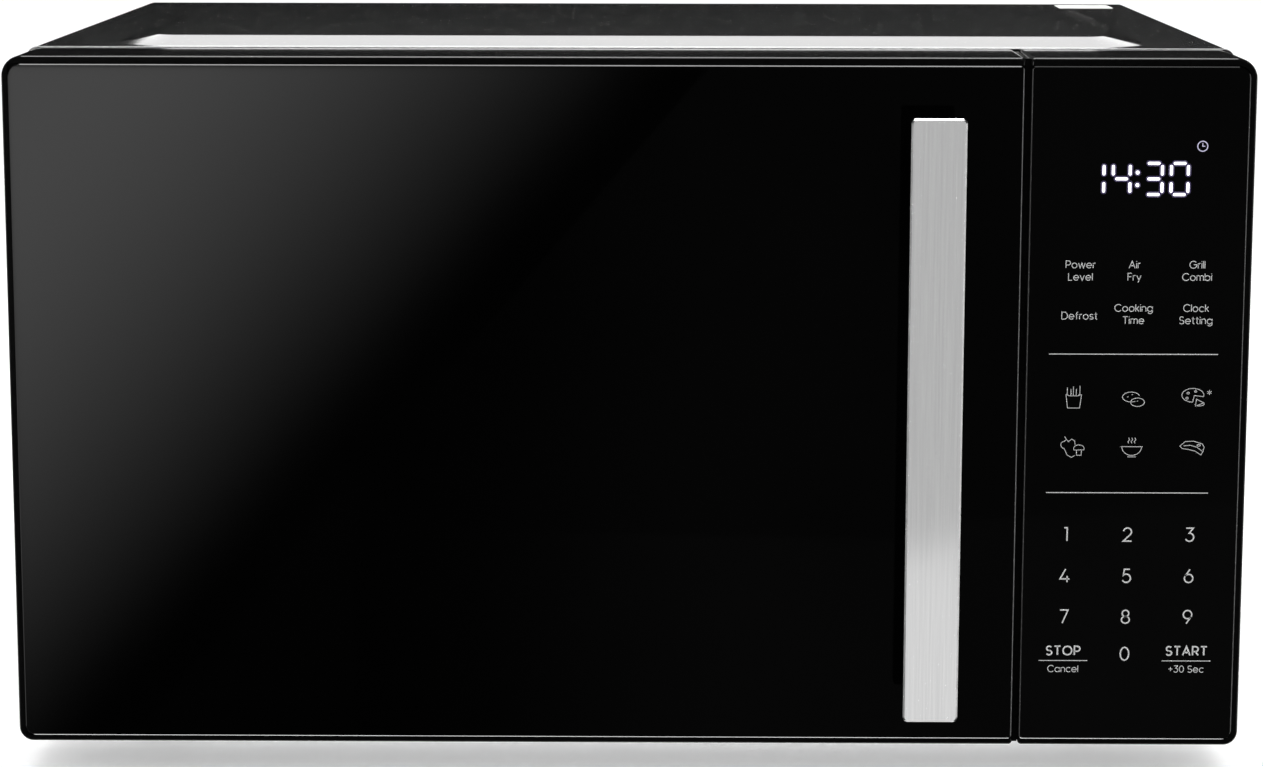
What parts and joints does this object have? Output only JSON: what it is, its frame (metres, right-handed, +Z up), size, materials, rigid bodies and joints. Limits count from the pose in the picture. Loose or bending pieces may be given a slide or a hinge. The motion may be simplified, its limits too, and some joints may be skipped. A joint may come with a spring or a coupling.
{
  "type": "microwave oven",
  "caption": "Countertop microwave oven with side-hung glass door, flat bar handle, flush touch panel, glass turntable, grill and convection fan",
  "frame": {"origin": "on the floor, at the middle of the box round the whole oven", "axes": "+X to the right seen from the front, +Y to the rear, +Z up"},
  "size_m": [0.513, 0.43, 0.3065],
  "materials": {
    "cabinet_paint": "semi-gloss black powder coat with a fine grain",
    "galvanised": "plain galvanised sheet",
    "oven_enamel": "grey oven enamel, semi-gloss",
    "black_plastic": "moulded black plastic, satin",
    "panel_plastic": "moulded black plastic, gloss",
    "tinted_glass": "tinted toughened glass, polished edge",
    "panel_glass": "black back-printed glass",
    "clear_glass": "clear toughened glass",
    "aluminium": "brushed along its length, bright bevelled edges",
    "die_cast": "satin die casting",
    "bright_steel": "bright steel",
    "heater_sheath": "dark oxidised sheath",
    "white_plastic": "white moulding",
    "grey_plastic": "grey moulding",
    "copper": "enamelled copper winding",
    "core_steel": "laminated core",
    "mica": "mica sheet",
    "circuit": "green circuit board",
    "display": "dark display window with white digits",
    "rubber": "matte rubber",
    "label": "blank pale label"
  },
  "bodies": {
    "chassis": {"outer_cabinet": "cabinet_paint", "base_plate": "galvanised", "rear_panel": "galvanised", "front_plate": "oven_enamel", "cavity_shell": "oven_enamel", "convection_cover": "oven_enamel", "fan_chamber": "galvanised", "convection_heater": "heater_sheath", "convection_motor": "bright_steel", "waveguide": "galvanised", "waveguide_cover": "mica", "magnetron": "bright_steel", "transformer_core": "core_steel", "transformer_windings": "copper", "capacitor": "bright_steel", "diode": "black_plastic", "cooling_motor": "core_steel", "fan_shroud": "black_plastic", "air_duct": "black_plastic", "grill_heater": "heater_sheath", "turntable_motor": "bright_steel", "cavity_lamp": "white_plastic", "thermal_cutouts": "black_plastic", "filter_board": "circuit", "control_frame": "panel_plastic", "control_glass": "panel_glass", "display_module": "display", "control_board": "circuit", "touch_board": "circuit", "latch_body": "black_plastic", "microswitches": "black_plastic", "hinge_upper": "bright_steel", "hinge_lower": "bright_steel", "hinge_pins": "bright_steel", "feet": "rubber", "cabinet_screws": "bright_steel", "hinge_screws": "bright_steel", "rear_label": "label", "cord_gland": "rubber"},
    "door": {"door_frame": "panel_plastic", "door_glass": "tinted_glass", "door_plate": "black_plastic", "inner_pane": "tinted_glass", "choke_cover": "black_plastic", "handle_bar": "aluminium", "handle_posts": "die_cast", "handle_screws": "bright_steel", "hook_spring": "bright_steel"},
    "door_hook": {"door_hook": "grey_plastic"},
    "turntable_coupler": {"turntable_coupler": "grey_plastic"},
    "glass_tray": {"glass_tray": "clear_glass"},
    "roller_ring": {"roller_ring": "grey_plastic"},
    "roller_1": {"roller_1": "white_plastic"},
    "roller_2": {"roller_2": "white_plastic"},
    "roller_3": {"roller_3": "white_plastic"},
    "cooling_fan": {"cooling_fan": "white_plastic"},
    "convection_fan": {"convection_fan": "bright_steel"},
    "door_switch": {"door_switch_plunger": "white_plastic"},
    "safety_switch": {"safety_switch_plunger": "white_plastic"},
    "monitor_switch": {"monitor_switch_plunger": "white_plastic"}
  },
  "joints": [
    {"name": "door_swing", "type": "hinge", "parent": "chassis", "child": "door", "pos_m": [-0.2465, -0.14, 0.16], "axis": [0, 0, -1], "range_deg": [0, 100]},
    {"name": "hook_lift", "type": "slide", "parent": "door", "child": "door_hook", "axis": [0, 0, 1], "range_m": [0, 0.004], "stiffness_N_per_m": 500, "springref_m": -0.003, "deforming": ["hook_spring"]},
    {"name": "coupler_spin", "type": "hinge", "parent": "chassis", "child": "turntable_coupler", "pos_m": [-0.0495, 0.024, 0.04], "axis": [0, 0, 1], "continuous": true},
    {"name": "tray_lift", "type": "slide", "parent": "turntable_coupler", "child": "glass_tray", "axis": [0, 0, 1], "range_m": [0, 0.03]},
    {"name": "ring_spin", "type": "hinge", "parent": "chassis", "child": "roller_ring", "pos_m": [-0.0495, 0.024, 0.0495], "axis": [0, 0, 1], "continuous": true},
    {"name": "roller_1_spin", "type": "hinge", "parent": "roller_ring", "child": "roller_1", "pos_m": [0.0625, 0.024, 0.0495], "axis": [1, 0, 0], "continuous": true},
    {"name": "roller_2_spin", "type": "hinge", "parent": "roller_ring", "child": "roller_2", "pos_m": [-0.1055, 0.121, 0.0495], "axis": [-0.5, 0.866, 0], "continuous": true},
    {"name": "roller_3_spin", "type": "hinge", "parent": "roller_ring", "child": "roller_3", "pos_m": [-0.1055, -0.073, 0.0495], "axis": [-0.5, -0.866, 0], "continuous": true},
    {"name": "cooling_fan_spin", "type": "hinge", "parent": "chassis", "child": "cooling_fan", "pos_m": [0.191, 0.177, 0.215], "axis": [0, 1, 0], "continuous": true},
    {"name": "convection_fan_spin", "type": "hinge", "parent": "chassis", "child": "convection_fan", "pos_m": [-0.0495, 0.184, 0.151], "axis": [0, 1, 0], "continuous": true},
    {"name": "door_switch_press", "type": "slide", "parent": "chassis", "child": "door_switch", "axis": [0, 1, 0], "range_m": [0, 0.001], "stiffness_N_per_m": 600, "springref_m": -0.0005},
    {"name": "safety_switch_press", "type": "slide", "parent": "chassis", "child": "safety_switch", "axis": [0, 1, 0], "range_m": [0, 0.001], "stiffness_N_per_m": 600, "springref_m": -0.0005},
    {"name": "monitor_switch_press", "type": "slide", "parent": "chassis", "child": "monitor_switch", "axis": [0, 1, 0], "range_m": [0, 0.001], "stiffness_N_per_m": 600, "springref_m": -0.0005}
  ],
  "couplings": [
    {"joint": "ring_spin", "follows": "coupler_spin", "ratio": 0.5},
    {"joint": "roller_1_spin", "follows": "coupler_spin", "ratio": -6.6667},
    {"joint": "roller_2_spin", "follows": "coupler_spin", "ratio": -6.6667},
    {"joint": "roller_3_spin", "follows": "coupler_spin", "ratio": -6.6667}
  ]
}
